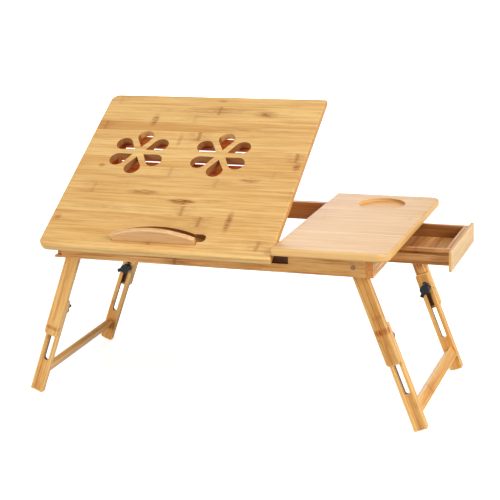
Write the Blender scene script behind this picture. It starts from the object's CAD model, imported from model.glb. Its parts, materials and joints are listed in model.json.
import json
import math

import bmesh
import bpy
from mathutils import Matrix, Vector

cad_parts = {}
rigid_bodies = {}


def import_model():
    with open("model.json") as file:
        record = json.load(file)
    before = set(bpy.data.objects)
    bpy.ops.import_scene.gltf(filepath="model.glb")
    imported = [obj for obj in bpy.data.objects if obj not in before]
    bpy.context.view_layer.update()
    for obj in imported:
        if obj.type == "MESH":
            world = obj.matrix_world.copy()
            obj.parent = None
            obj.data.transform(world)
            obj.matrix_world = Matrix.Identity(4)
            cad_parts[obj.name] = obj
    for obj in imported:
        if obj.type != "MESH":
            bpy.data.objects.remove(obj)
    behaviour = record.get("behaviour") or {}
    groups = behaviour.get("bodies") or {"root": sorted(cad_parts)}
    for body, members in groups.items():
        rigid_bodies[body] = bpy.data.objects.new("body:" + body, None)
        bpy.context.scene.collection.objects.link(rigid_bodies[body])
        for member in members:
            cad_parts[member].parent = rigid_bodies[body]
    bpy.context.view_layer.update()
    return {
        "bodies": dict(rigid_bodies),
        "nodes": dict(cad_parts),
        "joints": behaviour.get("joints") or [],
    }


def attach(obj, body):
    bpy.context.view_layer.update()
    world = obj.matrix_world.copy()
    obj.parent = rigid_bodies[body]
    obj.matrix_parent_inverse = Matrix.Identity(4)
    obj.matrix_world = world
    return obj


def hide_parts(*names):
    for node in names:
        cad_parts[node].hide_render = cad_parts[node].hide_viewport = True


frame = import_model()
nodes = frame["nodes"]
jointsByName = {j["name"]: j for j in frame["joints"]}
print("frame loaded:", len(nodes), "nodes")

# The frame's middle, where every length of the table is taken from, is midway between the leg pivots
pivotLeft = Vector(jointsByName["leg_fold_left"]["pos_m"])
pivotRight = Vector(jointsByName["leg_fold_right"]["pos_m"])
middle = Vector(((pivotLeft.x + pivotRight.x) / 2, pivotLeft.y, 0))
tiltHinge = Vector(jointsByName["top_tilt"]["pos_m"])
tiltAngle = math.radians(31)  # how the top stands at rest
legDown = Vector(jointsByName["leg_slide_right"]["axis"]) * -1


def linearColour(code):
    values = [int(code[k:k + 2], 16) / 255 for k in (1, 3, 5)]
    return (*[v / 12.92 if v <= 0.04045 else ((v + 0.055) / 1.055) ** 2.4 for v in values], 1)


# A node, its settings, and what goes into each input: a value, or another node's output
def addNode(tree, kind, settings=None, inputs=None):
    node = tree.nodes.new("ShaderNode" + kind)
    for key, value in (settings or {}).items():
        setattr(node, key, value)
    for key, value in (inputs or {}).items():
        if isinstance(value, bpy.types.NodeSocket):
            tree.links.new(value, node.inputs[key])
        else:
            node.inputs[key].default_value = value
    return node.outputs


def newGroup(name, inputs, outputs):
    tree = bpy.data.node_groups.new(name, "ShaderNodeTree")
    for inOut, sockets in (("INPUT", inputs), ("OUTPUT", outputs)):
        for socketName, kind in sockets.items():
            tree.interface.new_socket(name=socketName, in_out=inOut, socket_type="NodeSocket" + kind)
    return tree, tree.nodes.new("NodeGroupInput").outputs, tree.nodes.new("NodeGroupOutput").inputs


def newMaterial(name):
    material = bpy.data.materials.new(name)
    material.use_nodes = True
    material.node_tree.nodes.clear()
    return material, material.node_tree

# A knot or stain: where its middle starts to fade, and how its rim is torn along the grain
spotShape = {"fadeFrom": 0.1, "tornStretch": (0.07, 0.6, 0.6), "tornRange": (0.36, 0.58), "tornLeast": 0.15}


# Where something lies on a board, in the board's own millimetres: a ragged oval, or a plain box.
# Here and below, a MapRange takes 1 and 2 as the range that comes in, and 3 and 4 as the one that goes out
def makePlaceGroup():
    tree, given, result = newGroup("placeOnBoard", {"Place": "Vector", "Centre": "Vector", "Reach": "Vector"},
                                   {"Oval": "Float", "Box": "Float"})
    away = addNode(tree, "VectorMath", {"operation": "SUBTRACT"}, {0: given["Place"], 1: given["Centre"]})[0]
    share = addNode(tree, "VectorMath", {"operation": "DIVIDE"}, {0: away, 1: given["Reach"]})[0]
    length = addNode(tree, "VectorMath", {"operation": "LENGTH"}, {0: share})["Value"]
    core = addNode(tree, "MapRange", {"interpolation_type": "SMOOTHSTEP"}, {
        0: length, 1: spotShape["fadeFrom"], 2: 1.0, 3: 1, 4: 0})[0]
    stretched = addNode(tree, "VectorMath", {"operation": "MULTIPLY"}, {
        0: given["Place"], 1: spotShape["tornStretch"]})[0]
    ragged = addNode(tree, "TexNoise", None, {"Vector": stretched, "Scale": 1, "Detail": 4})["Fac"]
    low, high = spotShape["tornRange"]
    ragged = addNode(tree, "MapRange", None, {0: ragged, 1: low, 2: high, 3: spotShape["tornLeast"], 4: 1})[0]
    oval = addNode(tree, "Math", {"operation": "MULTIPLY"}, {0: core, 1: ragged})[0]
    tree.links.new(oval, result["Oval"])
    share = addNode(tree, "VectorMath", {"operation": "ABSOLUTE"}, {0: share})[0]
    sides = addNode(tree, "SeparateXYZ", None, {0: share})
    widest = addNode(tree, "Math", {"operation": "MAXIMUM"}, {0: sides[0], 1: sides[1]})[0]
    widest = addNode(tree, "Math", {"operation": "MAXIMUM"}, {0: widest, 1: sides[2]})[0]
    box = addNode(tree, "Math", {"operation": "LESS_THAN"}, {0: widest, 1: 1.0})[0]
    tree.links.new(box, result["Box"])
    return tree


# How the strips are drawn, in millimetres
bambooPattern = {
    "noises": {  # stretch along the grain, across it and through the board, then detail and roughness
        "cloud": ((0.005, 0.03, 0.03), 2, 0.5), "streak": ((0.009, 0.22, 0.22), 4, 0.6),
        "fibre": ((0.022, 1.3, 1.3), 4, 0.65), "fleck": ((0.045, 0.62, 0.62), 3, 0.6),
        "ragged": ((0.085, 0.5, 0.5), 4, 0.6), "wobble": ((0.01, 0.07, 0.07), 1, 0.5),
    },
    "shares": {  # where in its noise each tone starts, where it is full, and how strong it gets
        "cloud": (0.42, 0.62, 0.55), "streak": (0.45, 0.64, 1.0),
        "fibre": (0.48, 0.7, 0.6), "fleck": (0.58, 0.72, 0.5),
    },
    "boardApart": 913.7, "stripApart": 400.0, "knuckleApart": 7.9,  # shifts that keep the patterns from repeating
    "knuckleRoom": (0.2, 0.8), "knuckleBend": 3.0,
    "band": (0.4, 6.5, 0.75), "halo": (2.0, 30.0, 0.5), "glueLine": (0.1, 0.6, 0.35),  # from, to, strength
    "haloTorn": (0.4, 0.6, 0.1), "knuckleShows": (0.35, 0.95, 0.1),  # from, to, least
    "endFacing": (0.75, 0.9), "bundlesPerMm": 0.62, "bundleDots": (0.15, 0.45, 0.85, 0.05),
    "roughness": (0.36, 0.56),
}


# Bamboo boards are glued up from planed strips. Each strip keeps its own tone, long fibre streaks and,
# every few hundred millimetres, the darker band of a knuckle. Lengths inside the group are millimetres:
# X runs with the grain, Y across the strips, Z through the board.
def makeBambooGroup():
    pattern = bambooPattern
    tree, given, result = newGroup("bambooStrips", {
        "Place": "Vector", "Grain": "Vector", "Seed": "Float", "StripWidth": "Float", "KnuckleEvery": "Float",
        "StripContrast": "Float", "StreakContrast": "Float", "KnuckleContrast": "Float",
        "Light": "Color", "Middle": "Color", "Dark": "Color", "Knuckle": "Color", "EndGrain": "Color",
    }, {"Color": "Color", "Height": "Float", "Roughness": "Float"})
    place = addNode(tree, "SeparateXYZ", None, {0: given["Place"]})
    seedShift = addNode(tree, "Math", {"operation": "MULTIPLY"}, {0: given["Seed"], 1: pattern["boardApart"]})[0]
    # Which strip this is, how far across it, and a few numbers of its own
    across = addNode(tree, "Math", {"operation": "DIVIDE"}, {0: place[1], 1: given["StripWidth"]})[0]
    across = addNode(tree, "Math", {"operation": "ADD"}, {0: across, 1: seedShift})[0]
    strip = addNode(tree, "Math", {"operation": "FLOOR"}, {0: across})[0]
    inStrip = addNode(tree, "Math", {"operation": "FRACT"}, {0: across})[0]
    stripRandom = addNode(tree, "TexWhiteNoise", {"noise_dimensions": "1D"}, {"W": strip})["Color"]
    stripParts = addNode(tree, "SeparateColor", None, {0: stripRandom})
    stripShift = addNode(tree, "VectorMath", {"operation": "SCALE"}, {
        0: stripRandom, "Scale": pattern["stripApart"]})[0]
    # Noise drawn out along the grain: clouds of tone, streaks, fibres, short dark flecks, ragged knuckles
    noise = {}
    for name, (stretch, detail, roughness) in pattern["noises"].items():
        stretched = addNode(tree, "VectorMath", {"operation": "MULTIPLY_ADD"}, {
            0: given["Place"], 1: stretch, 2: stripShift})[0]
        noise[name] = addNode(tree, "TexNoise", None, {
            "Vector": stretched, "Scale": 1, "Detail": detail, "Roughness": roughness})["Fac"]
    # Knuckles: one in each length of strip, at a place of its own, and only some of them plain to see
    shift = addNode(tree, "Math", {"operation": "MULTIPLY"}, {0: stripParts[1], 1: pattern["knuckleApart"]})[0]
    along = addNode(tree, "Math", {"operation": "DIVIDE"}, {0: place[0], 1: given["KnuckleEvery"]})[0]
    along = addNode(tree, "Math", {"operation": "ADD"}, {0: along, 1: shift})[0]
    lengthNumber = addNode(tree, "Math", {"operation": "FLOOR"}, {0: along})[0]
    cell = addNode(tree, "CombineXYZ", None, {0: strip, 1: lengthNumber})[0]
    cellRandom = addNode(tree, "TexWhiteNoise", {"noise_dimensions": "3D"}, {0: cell})["Color"]
    cellParts = addNode(tree, "SeparateColor", None, {0: cellRandom})
    inCell = addNode(tree, "Math", {"operation": "FRACT"}, {0: along})[0]
    first, last = pattern["knuckleRoom"]
    centre = addNode(tree, "MapRange", None, {0: cellParts[0], 3: first, 4: last})[0]
    fromCentre = addNode(tree, "Math", {"operation": "SUBTRACT"}, {0: inCell, 1: centre})[0]
    fromCentre = addNode(tree, "Math", {"operation": "MULTIPLY"}, {0: fromCentre, 1: given["KnuckleEvery"]})[0]
    bend = addNode(tree, "MapRange", None, {
        0: noise["wobble"], 3: -pattern["knuckleBend"], 4: pattern["knuckleBend"]})[0]
    distance = addNode(tree, "Math", {"operation": "ADD"}, {0: fromCentre, 1: bend})[0]
    distance = addNode(tree, "Math", {"operation": "ABSOLUTE"}, {0: distance})[0]
    near, far, most = pattern["band"]
    band = addNode(tree, "MapRange", {"interpolation_type": "SMOOTHSTEP"}, {
        0: distance, 1: near, 2: far, 3: most, 4: 0})[0]
    near, far, most = pattern["halo"]
    halo = addNode(tree, "MapRange", {"interpolation_type": "SMOOTHSTEP"}, {
        0: distance, 1: near, 2: far, 3: most, 4: 0})[0]
    low, high, least = pattern["haloTorn"]
    ragged = addNode(tree, "MapRange", None, {0: noise["ragged"], 1: low, 2: high, 3: least, 4: 1})[0]
    halo = addNode(tree, "Math", {"operation": "MULTIPLY"}, {0: halo, 1: ragged})[0]
    knuckle = addNode(tree, "Math", {"operation": "MAXIMUM"}, {0: band, 1: halo})[0]
    low, high, least = pattern["knuckleShows"]
    shows = addNode(tree, "MapRange", None, {0: cellParts[1], 1: low, 2: high, 3: least, 4: 1})[0]
    knuckle = addNode(tree, "Math", {"operation": "MULTIPLY"}, {0: knuckle, 1: shows})[0]
    knuckle = addNode(tree, "Math", {"operation": "MULTIPLY", "use_clamp": True}, {
        0: knuckle, 1: given["KnuckleContrast"]})[0]
    # The glue line between two strips
    farSide = addNode(tree, "Math", {"operation": "SUBTRACT"}, {0: 1, 1: inStrip})[0]
    fromEdge = addNode(tree, "Math", {"operation": "MINIMUM"}, {0: inStrip, 1: farSide})[0]
    fromEdge = addNode(tree, "Math", {"operation": "MULTIPLY"}, {0: fromEdge, 1: given["StripWidth"]})[0]
    near, far, most = pattern["glueLine"]
    glue = addNode(tree, "MapRange", None, {0: fromEdge, 1: near, 2: far, 3: most, 4: 0})[0]
    # Tones laid over each other: how much of each, and which colour
    shares = {}
    for name, (low, high, most) in pattern["shares"].items():
        shares[name] = addNode(tree, "MapRange", None, {0: noise[name], 1: low, 2: high, 3: 0, 4: most})[0]
    for name in ("streak", "fibre", "fleck"):
        shares[name] = addNode(tree, "Math", {"operation": "MULTIPLY"}, {
            0: shares[name], 1: given["StreakContrast"]})[0]
    for name, part in (("strip", 0), ("stripLight", 2)):
        shares[name] = addNode(tree, "Math", {"operation": "MULTIPLY"}, {
            0: stripParts[part], 1: given["StripContrast"]})[0]
    tone = given["Middle"]
    for share, colour in (
        (shares["strip"], "Dark"), (shares["stripLight"], "Light"), (shares["cloud"], "Light"),
        (shares["streak"], "Dark"), (shares["fibre"], "Dark"), (shares["fleck"], "Knuckle"),
        (knuckle, "Knuckle"), (glue, "Knuckle"),
    ):
        tone = addNode(tree, "Mix", {"data_type": "RGBA"}, {0: share, 6: tone, 7: given[colour]})[2]
    # End grain: the cut ends of the fibre bundles are dark dots
    normal = addNode(tree, "TexCoord")["Normal"]
    facing = addNode(tree, "VectorMath", {"operation": "DOT_PRODUCT"}, {0: normal, 1: given["Grain"]})["Value"]
    facing = addNode(tree, "Math", {"operation": "ABSOLUTE"}, {0: facing})[0]
    low, high = pattern["endFacing"]
    endShare = addNode(tree, "MapRange", None, {0: facing, 1: low, 2: high, 3: 0, 4: 1})[0]
    dots = addNode(tree, "TexVoronoi", None, {"Vector": given["Place"], "Scale": pattern["bundlesPerMm"]})["Distance"]
    near, far, most, least = pattern["bundleDots"]
    dots = addNode(tree, "MapRange", None, {0: dots, 1: near, 2: far, 3: most, 4: least})[0]
    endTone = addNode(tree, "Mix", {"data_type": "RGBA"}, {0: dots, 6: given["EndGrain"], 7: given["Knuckle"]})[2]
    tone = addNode(tree, "Mix", {"data_type": "RGBA"}, {0: endShare, 6: tone, 7: endTone})[2]
    # Fibres stand a little, glue lines sink a little
    height = addNode(tree, "Math", {"operation": "SUBTRACT"}, {0: noise["fibre"], 1: glue})[0]
    smooth, rough = pattern["roughness"]
    roughness = addNode(tree, "MapRange", None, {0: noise["fibre"], 3: smooth, 4: rough})[0]
    tree.links.new(tone, result["Color"])
    tree.links.new(height, result["Height"])
    tree.links.new(roughness, result["Roughness"])
    return tree


placeGroup = makePlaceGroup()
bambooGroup = makeBambooGroup()
# The clear matt lacquer, and how far a face may lean before it counts as a board's wall; depths in metres
bambooFinish = {"relief": 0.4, "reliefDepth": 0.00012, "ior": 1.5, "gloss": 0.2, "wallFacing": (0.5, 0.85)}
wholeDepth = 400  # millimetres, more than any board is thick


# Moso bamboo strip, planed, sanded and given a thin clear matt lacquer: warm straw colour with a soft gloss.
# grain and across say how the board was laid; spots are knots and stains, and patches are places that differ
# in tone, such as the scorched walls of a cut-out, each given by its centre and reach in the board's millimetres
def bambooMaterial(name, look, grain, across, corner, spots=(), patches=()):
    material, tree = newMaterial(name)
    alongGrain, acrossStrips = Vector(grain).normalized(), Vector(across).normalized()
    out = alongGrain.cross(acrossStrips)
    turned = Matrix((alongGrain, acrossStrips, out)).transposed()
    coordinates = addNode(tree, "TexCoord")
    placed = addNode(tree, "Mapping", {"vector_type": "TEXTURE"}, {
        "Vector": coordinates["Object"], "Location": tuple(corner), "Rotation": tuple(turned.to_euler()),
        "Scale": (0.001, 0.001, 0.001),  # from metres to millimetres
    })[0]
    strips = addNode(tree, "Group", {"node_tree": bambooGroup}, {
        "Place": placed, "Grain": tuple(alongGrain), "Seed": addNode(tree, "ObjectInfo")["Random"],
        "StripWidth": look["stripWidth"], "KnuckleEvery": look["knuckleEvery"],
        "StripContrast": look["stripContrast"], "StreakContrast": look["streakContrast"],
        "KnuckleContrast": look["knuckleContrast"], "Light": linearColour(look["light"]),
        "Middle": linearColour(look["middle"]), "Dark": linearColour(look["dark"]),
        "Knuckle": linearColour(look["knuckle"]), "EndGrain": linearColour(look["endGrain"]),
    })
    tone = strips["Color"]
    for centre, reach, strength in spots:
        spot = addNode(tree, "Group", {"node_tree": placeGroup}, {
            "Place": placed, "Centre": (*centre, 0), "Reach": (*reach, wholeDepth)})["Oval"]
        spot = addNode(tree, "Math", {"operation": "MULTIPLY"}, {0: spot, 1: strength})[0]
        tone = addNode(tree, "Mix", {"data_type": "RGBA"}, {0: spot, 6: tone, 7: linearColour(look["knuckle"])})[2]
    facing = addNode(tree, "VectorMath", {"operation": "DOT_PRODUCT"}, {
        0: coordinates["Normal"], 1: tuple(out)})["Value"]
    facing = addNode(tree, "Math", {"operation": "ABSOLUTE"}, {0: facing})[0]
    low, high = bambooFinish["wallFacing"]
    walls = addNode(tree, "MapRange", None, {0: facing, 1: low, 2: high, 3: 1, 4: 0})[0]
    for patch in patches:
        inside = addNode(tree, "Group", {"node_tree": placeGroup}, {
            "Place": placed, "Centre": patch["centre"], "Reach": patch["reach"]})["Box"]
        inside = addNode(tree, "Math", {"operation": "MULTIPLY"}, {0: inside, 1: patch["strength"]})[0]
        if patch.get("wallsOnly"):
            inside = addNode(tree, "Math", {"operation": "MULTIPLY"}, {0: inside, 1: walls})[0]
        tone = addNode(tree, "Mix", {"data_type": "RGBA"}, {
            0: inside, 6: tone, 7: linearColour(patch["colour"])})[2]
    # Handled edges are rubbed paler
    wear = addNode(tree, "Attribute", {"attribute_name": "wear"})["Fac"]
    rubbed = addNode(tree, "Math", {"operation": "MULTIPLY"}, {0: wear, 1: look["edgeWear"]})[0]
    tone = addNode(tree, "Mix", {"data_type": "RGBA"}, {0: rubbed, 6: tone, 7: linearColour(look["light"])})[2]
    relief = addNode(tree, "Bump", None, {
        "Height": strips["Height"], "Strength": bambooFinish["relief"], "Distance": bambooFinish["reliefDepth"]})[0]
    surface = addNode(tree, "BsdfPrincipled", None, {
        "Base Color": tone, "Roughness": strips["Roughness"], "Normal": relief,
        "IOR": bambooFinish["ior"], "Specular IOR Level": bambooFinish["gloss"],
    })[0]
    addNode(tree, "OutputMaterial", None, {"Surface": surface})
    return material


# Which moving body each CAD node is on
bodyOf = {
    name: next(body for body, empty in frame["bodies"].items() if node.parent == empty)
    for name, node in nodes.items()
}
# How edges are broken: lengths in metres, angles in degrees
sanding = {
    "width": 0.0005, "knobWidth": 0.0004, "segments": 2, "profile": 0.5,
    "joinWithin": 1e-6, "flatBelow": 0.6, "sharpAbove": 30, "normalWeight": 100,
}


# A sanded copy of a CAD solid stands in for it: its sharp edges are broken by a small round, marked for wear
def soften(name, width):
    source = nodes[name]
    shape = bmesh.new()
    shape.from_mesh(source.data)
    bmesh.ops.remove_doubles(shape, verts=shape.verts, dist=sanding["joinWithin"])
    bmesh.ops.dissolve_limit(shape, angle_limit=math.radians(sanding["flatBelow"]),
                             verts=shape.verts, edges=shape.edges)
    wear = shape.faces.layers.float.new("wear")
    sharpAngle = math.radians(sanding["sharpAbove"])
    sharp = [e for e in shape.edges if len(e.link_faces) == 2 and e.calc_face_angle(0) > sharpAngle]
    made = bmesh.ops.bevel(shape, geom=sharp, offset=width, segments=sanding["segments"],
                           profile=sanding["profile"], affect="EDGES", clamp_overlap=False)
    for face in made["faces"]:
        face[wear] = 1
    for face in shape.faces:
        face.smooth = True
    mesh = bpy.data.meshes.new(name + "_sanded")
    shape.to_mesh(mesh)
    shape.free()
    piece = bpy.data.objects.new(name + "_sanded", mesh)
    bpy.context.scene.collection.objects.link(piece)
    weighted = piece.modifiers.new("faceNormals", "WEIGHTED_NORMAL")
    weighted.keep_sharp = True
    weighted.weight = sanding["normalWeight"]
    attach(piece, bodyOf[name])
    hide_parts(name)
    return piece


# Gives nodes their material, and a sanded copy of each one where there is a width to sand by
def dress(material, names, softWidth=sanding["width"]):
    for name in names:
        piece = soften(name, softWidth) if softWidth else None
        for obj in (nodes[name], piece):
            if obj:
                obj.data.materials.clear()
                obj.data.materials.append(material)


xAxis, yAxis, zAxis = Vector((1, 0, 0)), Vector((0, 1, 0)), Vector((0, 0, 1))
upSlope = Vector((0, math.cos(tiltAngle), math.sin(tiltAngle)))
panelOut = Vector((0, -math.sin(tiltAngle), math.cos(tiltAngle)))
panelCorner = Vector((middle.x, tiltHinge.y, tiltHinge.z))

# Tilting top: wide strips along X. Its cut-outs are scorched brown by the cutter. A spot is its centre, its
# reach and its strength, and the knots lie where the photograph has them
topLook = {
    "stripWidth": 21, "knuckleEvery": 250, "stripContrast": 0.7, "streakContrast": 0.5, "knuckleContrast": 0.8,
    "edgeWear": 0.7, "light": "#EDC783", "middle": "#DCAC66", "dark": "#BC803E", "knuckle": "#8E501D",
    "endGrain": "#D39E5A",
}
topSpots = (
    ((-66, 80), (30, 9), 1.7), ((-137, 97), (36, 8), 0.9), ((-173, 264), (9, 20), 1.0), ((15, 284), (28, 11), 0.9),
    ((21, 42), (8, 32), 0.9), ((96, 165), (9, 15), 1.0), ((-114, 218), (6, 24), 0.5), ((30, 132), (24, 8), 0.8),
    ((-228, 153), (9, 6), 0.8), ((-21, 84), (40, 5), 0.5), ((-259, 35), (9, 10), 0.6), ((-69, 315), (13, 4), 0.7),
    ((-83, 290), (210, 12), 0.4), ((-180, 60), (90, 6), 0.35), ((-10, 245), (110, 7), 0.3),
    ((-150, 130), (90, 5), 0.35),
)
topPatches = (
    {"centre": (-105, 187, 8), "reach": (120, 42, 9), "colour": "#8A4316", "strength": 0.7, "wallsOnly": True},
    {"centre": (-78, 10, 7), "reach": (90, 20, 7.2), "colour": "#8A4A1C", "strength": 0.7},  # the stop's pocket
)
dress(bambooMaterial("bambooBoardFlatPressed", topLook, xAxis, upSlope, panelCorner, topSpots, topPatches),
      ["tilting_top"])
stopLook = {
    **topLook, "stripWidth": 60, "light": "#EFC795", "middle": "#DFAE72", "dark": "#BE8148", "knuckleContrast": 0.3,
}
dress(bambooMaterial("bambooStopLip", stopLook, xAxis, upSlope, panelCorner), ["stop_bar"])

# Side top: paler and pinker than the tilting top, golden again in the turned cup recess and along its edges
sideLook = {
    "stripWidth": 22, "knuckleEvery": 300, "stripContrast": 0.45, "streakContrast": 0.42, "knuckleContrast": 0.45,
    "edgeWear": 0.5, "light": "#E9C592", "middle": "#DBAE74", "dark": "#C0874B", "knuckle": "#A96C36",
    "endGrain": "#E5B470",
}
sideSpots = (
    ((140, 12), (8, 4), 0.8), ((202, -21), (12, 5), 0.6), ((237, -59), (20, 8), 0.4), ((120, -120), (40, 9), 0.25),
)
sidePatches = (
    {"centre": (196, 117, 272.5), "reach": (38, 38, 6.3), "colour": "#DDA45A", "strength": 0.75},
    {"centre": (192, 0, 273), "reach": (90, 180, 9), "colour": "#EBBB70", "strength": 0.6, "wallsOnly": True},
)
dress(bambooMaterial("bambooBoardSidePressed", sideLook, xAxis, yAxis, middle, sideSpots, sidePatches), ["side_top"])

# Frame rails: one strip high, darker and browner, with a dark catch pocket in the front one
railLook = {
    "stripWidth": 29, "knuckleEvery": 210, "stripContrast": 0.4, "streakContrast": 0.85, "knuckleContrast": 0.9,
    "edgeWear": 0.5, "light": "#EEC07A", "middle": "#DAA35B", "dark": "#AA6426", "knuckle": "#7A4018",
    "endGrain": "#D58C4A",
}
pocket = {"centre": (111, 260, 152.5), "reach": (15.2, 9.5, 6.2), "colour": "#5A2A10", "strength": 0.85}
dress(bambooMaterial("bambooRailFront", railLook, xAxis, zAxis, middle, (), (pocket,)), ["front_rail"])
innerFace = {"centre": (0, 250, -147), "reach": (300, 20, 3), "colour": "#A55419", "strength": 0.7}
dress(bambooMaterial("bambooRailBack", railLook, xAxis, zAxis, middle, (), (innerFace,)), ["back_rail"])
dress(bambooMaterial("bambooDrawerRunners", railLook, xAxis, zAxis, middle),
      ["drawer_runner_front", "drawer_runner_back"])
dress(bambooMaterial("bambooRailsAcross", railLook, yAxis, zAxis, middle), [
    "left_side_rail", "right_side_rail_front", "right_side_rail_back", "drawer_divider", "prop_rack_left",
    "prop_rack_rail",
])

# Prop under the tilting top: carbonised strip, steamed to an orange brown. Its stiles run along propAxis
propAxis = Vector((0, -0.7164, -0.6973))
propLook = {
    **railLook, "light": "#F79A4A", "middle": "#E57525", "dark": "#BE500F", "knuckle": "#86330A",
    "endGrain": "#BC6628",
}
dress(bambooMaterial("carbonisedBambooStiles", propLook, propAxis, xAxis, panelCorner),
      ["prop_stile_left", "prop_stile_right"])
dress(bambooMaterial("carbonisedBambooSlats", propLook, xAxis, propAxis, panelCorner),
      [name for name in nodes if name.startswith("prop_slat")])
dress(bambooMaterial("carbonisedBambooBlocks", propLook, xAxis, upSlope, panelCorner), ["prop_hinge_blocks"])

# Legs: each is one straight strip with the grain down its length. Places are millimetres down the leg from its
# pivot, across it, and out from the frame's middle
legLook = {
    "stripWidth": 40, "knuckleEvery": 190, "stripContrast": 0.3, "streakContrast": 0.75, "knuckleContrast": 0.6,
    "edgeWear": 0.85, "light": "#FBD58E", "middle": "#ECB464", "dark": "#CB8436", "knuckle": "#A24B18",
    "endGrain": "#D89A50",
}
legSpots = {
    "upper_leg_front_right": (((106, 0), (8, 90), 1.8), ((118, 3), (26, 8), 0.5), ((140, 0), (34, 14), 0.4)),
    "upper_leg_front_left": (((145, 0), (6, 90), 1.0), ((60, 0), (50, 7), 0.3)),
    "upper_leg_back_right": (((78, 0), (20, 120), 1.6),),
    "lower_leg_front_right": (((228, 6), (10, 8), 0.4),),
}
legTones = {"upper_leg_front_right": {"light": "#E8BC74", "middle": "#D49A4E", "dark": "#B26C28"}}
slotWalls = {
    "centre": (160, 0, 0), "reach": (56, 5.5, wholeDepth), "colour": "#6B3210", "strength": 0.85, "wallsOnly": True,
}
underSlot = {"reach": (23, 4.4, 4.5), "colour": "#5E2A0C", "strength": 0.9}
underSlotAt = {"down": 131, "out": 136.7}  # on the upper leg's inner face
for side, hand in (("left", -1), ("right", 1)):
    down = Vector((hand * legDown.x, 0, legDown.z))
    acrossLeg = Vector((hand * -legDown.z, 0, legDown.x))
    pivot = pivotLeft if hand < 0 else pivotRight
    for end, inner in (("front", underSlotAt["out"] * hand), ("back", -underSlotAt["out"] * hand)):
        upperPatch = {**underSlot, "centre": (underSlotAt["down"], 0, inner)}
        for part, patch in (("upper", upperPatch), ("lower", slotWalls)):
            name = f"{part}_leg_{end}_{side}"
            look = {**legLook, **legTones.get(name, {})}
            spots = legSpots.get(name, ())
            dress(bambooMaterial("bambooLeg_" + name, look, down, acrossLeg, pivot, spots, (patch,)), [name])
crossLook = {**legLook, "knuckleEvery": 260, "knuckleContrast": 0.8}
dress(bambooMaterial("bambooCrossRails", crossLook, yAxis, zAxis, middle), ["cross_rail_left", "cross_rail_right"])

# Drawer: thin strip, brown inside, with a paler front plate
drawerLook = {
    "stripWidth": 26, "knuckleEvery": 220, "stripContrast": 0.4, "streakContrast": 0.8, "knuckleContrast": 0.5,
    "edgeWear": 0.9, "light": "#E9B373", "middle": "#CB8A4B", "dark": "#985824", "knuckle": "#6B3710",
    "endGrain": "#B2733A",
}
sideInside = {"centre": (276, 255, 0), "reach": (62, 12, 65.5), "colour": "#7E4518", "strength": 0.6}
floorLook = {**drawerLook, "stripWidth": 16}
plateLook = {
    **sideLook, "light": "#E6C690", "middle": "#DAB27A", "dark": "#BB8648", "stripWidth": 32, "edgeWear": 0.8,
}
dress(bambooMaterial("bambooDrawerSides", drawerLook, xAxis, zAxis, middle, (), (sideInside,)),
      ["drawer_side_front", "drawer_side_back"])
dress(bambooMaterial("bambooDrawerAcross", drawerLook, yAxis, zAxis, middle), ["drawer_back", "drawer_inner_front"])
dress(bambooMaterial("bambooDrawerFloor", floorLook, yAxis, xAxis, middle), ["drawer_bottom"])
dress(bambooMaterial("bambooDrawerFrontPlate", plateLook, yAxis, zAxis, middle), ["drawer_front_plate"])
print("bamboo dressed")

# Steel: how much smoother and rougher than its middle value it gets, and the height of its plating's grain
steelFinish = {"smoother": 0.08, "rougher": 0.12, "detail": 3, "relief": 0.2, "reliefDepth": 0.00005}


# Zinc-plated steel: cool grey, its fine roughness from barrel plating. The pivot bolts are blackened, so they
# are darker and browner
def steelMaterial(name, colour, spent, roughness, speckMm):
    material, tree = newMaterial(name)
    coordinates = addNode(tree, "TexCoord")["Object"]
    speck = addNode(tree, "TexNoise", None, {
        "Vector": coordinates, "Scale": 1000 / speckMm, "Detail": steelFinish["detail"]})["Fac"]
    rough = addNode(tree, "MapRange", None, {
        0: speck, 3: roughness - steelFinish["smoother"], 4: roughness + steelFinish["rougher"]})[0]
    tint = addNode(tree, "Mix", {"data_type": "RGBA"}, {0: speck, 6: linearColour(colour), 7: linearColour(spent)})[2]
    relief = addNode(tree, "Bump", None, {
        "Height": speck, "Strength": steelFinish["relief"], "Distance": steelFinish["reliefDepth"]})[0]
    surface = addNode(tree, "BsdfPrincipled", None, {
        "Base Color": tint, "Metallic": 1.0, "Roughness": rough, "Normal": relief})[0]
    addNode(tree, "OutputMaterial", None, {"Surface": surface})
    return material


zincSteel = steelMaterial("zincPlatedSteel", "#C9C8C2", "#8E8B84", 0.34, 0.8)
dress(zincSteel, ["hinge_leaves_lower", "hinge_leaves_upper", "hinge_pins", "stop_bar_pins", "prop_hinge_pins",
                  "leg_studs_left", "leg_studs_right", "leg_washers_left", "leg_washers_right"], 0)
dress(steelMaterial("blackenedSteel", "#8A6A5C", "#463430", 0.38, 0.6), ["leg_pivot_bolts"], 0)

knobLook = {
    "grainScale": 2500, "detail": 2, "relief": 0.25, "reliefDepth": 0.00006, "roughness": (0.28, 0.44),
    "dark": "#0A0C0D", "light": "#15181A", "rubbed": "#33393B", "edgeWear": 0.35, "ior": 1.53, "gloss": 0.25,
}


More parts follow.
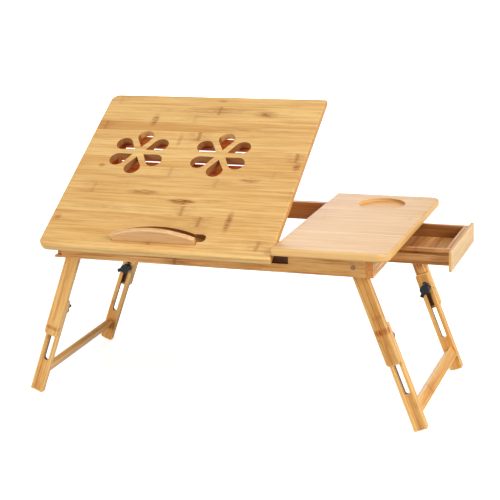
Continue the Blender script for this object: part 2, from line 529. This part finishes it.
# Knobs are moulded nylon, near black with a fine spark-eroded grain that keeps the gloss soft
def nylonMaterial():
    material, tree = newMaterial("mouldedBlackNylon")
    coordinates = addNode(tree, "TexCoord")["Object"]
    grain = addNode(tree, "TexNoise", None, {
        "Vector": coordinates, "Scale": knobLook["grainScale"], "Detail": knobLook["detail"]})["Fac"]
    relief = addNode(tree, "Bump", None, {
        "Height": grain, "Strength": knobLook["relief"], "Distance": knobLook["reliefDepth"]})[0]
    smooth, rough = knobLook["roughness"]
    roughness = addNode(tree, "MapRange", None, {0: grain, 3: smooth, 4: rough})[0]
    wear = addNode(tree, "Attribute", {"attribute_name": "wear"})["Fac"]
    tint = addNode(tree, "Mix", {"data_type": "RGBA"}, {
        0: grain, 6: linearColour(knobLook["dark"]), 7: linearColour(knobLook["light"])})[2]
    rubbed = addNode(tree, "Math", {"operation": "MULTIPLY"}, {0: wear, 1: knobLook["edgeWear"]})[0]
    tint = addNode(tree, "Mix", {"data_type": "RGBA"}, {0: rubbed, 6: tint, 7: linearColour(knobLook["rubbed"])})[2]
    surface = addNode(tree, "BsdfPrincipled", None, {
        "Base Color": tint, "Roughness": roughness, "Normal": relief,
        "IOR": knobLook["ior"], "Specular IOR Level": knobLook["gloss"],
    })[0]
    addNode(tree, "OutputMaterial", None, {"Surface": surface})
    return material


dress(nylonMaterial(), [name for name in nodes if name.startswith("wing_knob")], sanding["knobWidth"])

# Hinge screws, in metres: flat heads sunk in the leaves, with a cross recess. The hinges' middles are along X
# from the frame's middle, and the turns, in radians, are how the driver left them
screw = {
    "radius": 0.0029, "sides": 24, "stand": 0.0003, "sink": 0.0009, "topShare": 0.86,
    "slotReach": 0.0016, "slotWidth": 0.0005, "slotTaper": 0.8, "slotDepth": 0.8,
    "hingeMiddles": (-0.185, 0.055), "leafFace": 0.0024, "spacing": 0.012, "fromAxis": 0.014,
    "turnAlong": 0.7, "turnHinge": 0.4, "turnTop": 0.3,
}
screwSteel = steelMaterial("zincPlatedScrewSteel", "#D8D6CE", "#A6A39A", 0.26, 0.5)


def addScrew(name, at, outward, turn, body):
    shape = bmesh.new()
    angles = [k * math.tau / screw["sides"] for k in range(screw["sides"])]
    rim = [(screw["radius"] * math.cos(angle), screw["radius"] * math.sin(angle)) for angle in angles]
    topRim = [(x * screw["topShare"], y * screw["topShare"]) for x, y in rim]
    r, w = screw["slotReach"], screw["slotWidth"]
    cross = ((r, -w), (r, w), (w, w), (w, r), (-w, r), (-w, w),
             (-r, w), (-r, -w), (-w, -w), (-w, -r), (w, -r), (w, -w))
    crossFloor = [(x * screw["slotTaper"], y * screw["slotTaper"]) for x, y in cross]
    rings = [[shape.verts.new((x, y, z)) for x, y in points] for points, z in (
        (rim, -screw["sink"]), (rim, 0), (topRim, screw["stand"]),
        (cross, screw["stand"]), (crossFloor, -screw["sink"] * screw["slotDepth"]))]
    for low, high in ((0, 1), (1, 2), (3, 4)):
        count = len(rings[low])
        for k in range(count):
            after = (k + 1) % count
            shape.faces.new((rings[low][k], rings[low][after], rings[high][after], rings[high][k]))
    loops = [shape.edges.get((ring[k], ring[(k + 1) % len(ring)]))
             for ring in (rings[2], rings[3]) for k in range(len(ring))]
    bmesh.ops.triangle_fill(shape, edges=loops, use_beauty=True)
    shape.faces.new(rings[4])
    shape.faces.new(rings[0])
    bmesh.ops.recalc_face_normals(shape, faces=shape.faces)
    mesh = bpy.data.meshes.new(name)
    shape.to_mesh(mesh)
    shape.free()
    piece = bpy.data.objects.new(name, mesh)
    bpy.context.scene.collection.objects.link(piece)
    facing = outward.to_track_quat("Z", "Y").to_matrix().to_4x4()
    piece.matrix_world = Matrix.Translation(at) @ facing @ Matrix.Rotation(turn, 4, "Z")
    mesh.materials.append(screwSteel)
    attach(piece, body)


for h, hingeMiddle in enumerate(screw["hingeMiddles"]):
    for k in (-1, 0, 1):
        x = middle.x + hingeMiddle + k * screw["spacing"]
        onRail = Vector((x, tiltHinge.y + screw["leafFace"], tiltHinge.z - screw["fromAxis"]))
        onAxis = Vector((x, tiltHinge.y, tiltHinge.z))
        onTop = onAxis + upSlope * screw["fromAxis"] + panelOut * screw["leafFace"]
        turn = screw["turnAlong"] * k + screw["turnHinge"] * h
        addScrew(f"hinge_screw_rail_{h}_{k + 1}", onRail, yAxis, turn, bodyOf["hinge_leaves_lower"])
        addScrew(f"hinge_screw_top_{h}_{k + 1}", onTop, -panelOut, turn + screw["turnTop"],
                 bodyOf["hinge_leaves_upper"])
print("hardware dressed")

# Camera: where the photograph was taken from, measured from the frame's middle
cameraPlace = {
    "fromMiddle": (0.73148, -1.97924, 0.80847), "yaw": 20.18, "pitch": 15.48, "roll": -2.01,
    "focalPixels": 1378.13, "centre": (246.35, 248.22), "picture": 500, "sensor": 36,
}
yaw, pitch, roll = (math.radians(cameraPlace[k]) for k in ("yaw", "pitch", "roll"))
forward = Vector((-math.sin(yaw) * math.cos(pitch), math.cos(yaw) * math.cos(pitch), -math.sin(pitch)))
right = forward.cross(zAxis).normalized()
up = right.cross(forward)
right, up = (math.cos(roll) * right + math.sin(roll) * up, math.cos(roll) * up - math.sin(roll) * right)
cameraData = bpy.data.cameras.new("camera")
cameraData.sensor_width = cameraPlace["sensor"]
cameraData.lens = cameraPlace["focalPixels"] * cameraPlace["sensor"] / cameraPlace["picture"]
cameraData.shift_x = 0.5 - cameraPlace["centre"][0] / cameraPlace["picture"]
cameraData.shift_y = cameraPlace["centre"][1] / cameraPlace["picture"] - 0.5
cameraData.clip_end = 60
camera = bpy.data.objects.new("camera", cameraData)
turned = Matrix((right, up, -forward)).transposed().to_4x4()
camera.matrix_world = Matrix.Translation(middle + Vector(cameraPlace["fromMiddle"])) @ turned
bpy.context.scene.collection.objects.link(camera)
bpy.context.scene.camera = camera

# Studio: a white sweep, broad soft lights from the right and from above, and fills from behind and the left.
# The glow's reach is metres from the table
studio = {
    "floorSize": 60, "floorShade": "#F7F7F7", "floorBounce": "#C4C4C4", "world": 0.22,
    "glowNear": 0.62, "glowFar": 0.95, "glowReach": (0.6, 3.0),
    "lamps": (
        {"name": "rightSoftbox", "at": (2.6, -0.9, 1.6), "aim": (0.05, 0, 0.2), "size": 1.4, "watts": 68},
        {"name": "topSoftbox", "at": (0.2, -0.5, 2.8), "aim": (0, 0, 0.2), "size": 2.0, "watts": 23},
        {"name": "backFill", "at": (-1.2, 2.8, 0.8), "aim": (0, 0, 0.2), "size": 1.8, "watts": 27},
        {"name": "leftFill", "at": (-1.7, -2.6, 0.8), "aim": (0, 0, 0.15), "size": 1.6, "watts": 46},
    ),
}


# 1 for the given rays, which see the white of the studio itself, and 0 for the light that it gives back
def seenByRays(tree, *rays):
    path = addNode(tree, "LightPath")
    share = path[rays[0]]
    for ray in rays[1:]:
        share = addNode(tree, "Math", {"operation": "MAXIMUM"}, {0: share, 1: path[ray]})[0]
    return share


floorMesh = bpy.data.meshes.new("floor")
half = studio["floorSize"] / 2
corners = [(-half, -half, 0), (half, -half, 0), (half, half, 0), (-half, half, 0)]
floorMesh.from_pydata(corners, [], [(0, 1, 2, 3)])
floor = bpy.data.objects.new("floor", floorMesh)
bpy.context.scene.collection.objects.link(floor)
floorMaterial, tree = newMaterial("whiteSweep")
# Seen directly, the sweep glows whiter the further it is from the table; what it gives back as light stays plain
coordinates = addNode(tree, "TexCoord")["Object"]
fromTable = addNode(tree, "VectorMath", {"operation": "LENGTH"}, {0: coordinates})["Value"]
near, far = studio["glowReach"]
strength = addNode(tree, "MapRange", None, {
    0: fromTable, 1: near, 2: far, 3: studio["glowNear"], 4: studio["glowFar"]})[0]
paint = addNode(tree, "BsdfDiffuse", None, {"Color": linearColour(studio["floorShade"])})[0]
bounce = addNode(tree, "BsdfDiffuse", None, {"Color": linearColour(studio["floorBounce"])})[0]
glow = addNode(tree, "Emission", None, {"Strength": strength})[0]
lit = addNode(tree, "AddShader", None, {0: paint, 1: glow})[0]
seen = seenByRays(tree, "Is Camera Ray", "Is Glossy Ray")
mixed = addNode(tree, "MixShader", None, {0: seen, 1: bounce, 2: lit})[0]
addNode(tree, "OutputMaterial", None, {"Surface": mixed})
floorMesh.materials.append(floorMaterial)

world = bpy.data.worlds.new("studio")
world.use_nodes = True
tree = world.node_tree
tree.nodes.clear()
seen = seenByRays(tree, "Is Camera Ray", "Is Glossy Ray", "Is Transmission Ray")
ambient = addNode(tree, "Background", None, {"Color": (1, 1, 1, 1), "Strength": studio["world"]})[0]
backdrop = addNode(tree, "Background", None, {"Color": (1, 1, 1, 1), "Strength": 1.0})[0]
mixed = addNode(tree, "MixShader", None, {0: seen, 1: ambient, 2: backdrop})[0]
addNode(tree, "OutputWorld", None, {"Surface": mixed})
bpy.context.scene.world = world

for lamp in studio["lamps"]:
    data = bpy.data.lights.new(lamp["name"], "AREA")
    data.shape = "DISK"
    data.size = lamp["size"]
    data.energy = lamp["watts"]
    obj = bpy.data.objects.new(lamp["name"], data)
    place = Vector(lamp["at"])
    obj.location = place
    obj.rotation_euler = (Vector(lamp["aim"]) - place).to_track_quat("-Z", "Y").to_euler()
    bpy.context.scene.collection.objects.link(obj)
bpy.context.scene.view_settings.view_transform = "Standard"
print("studio set")
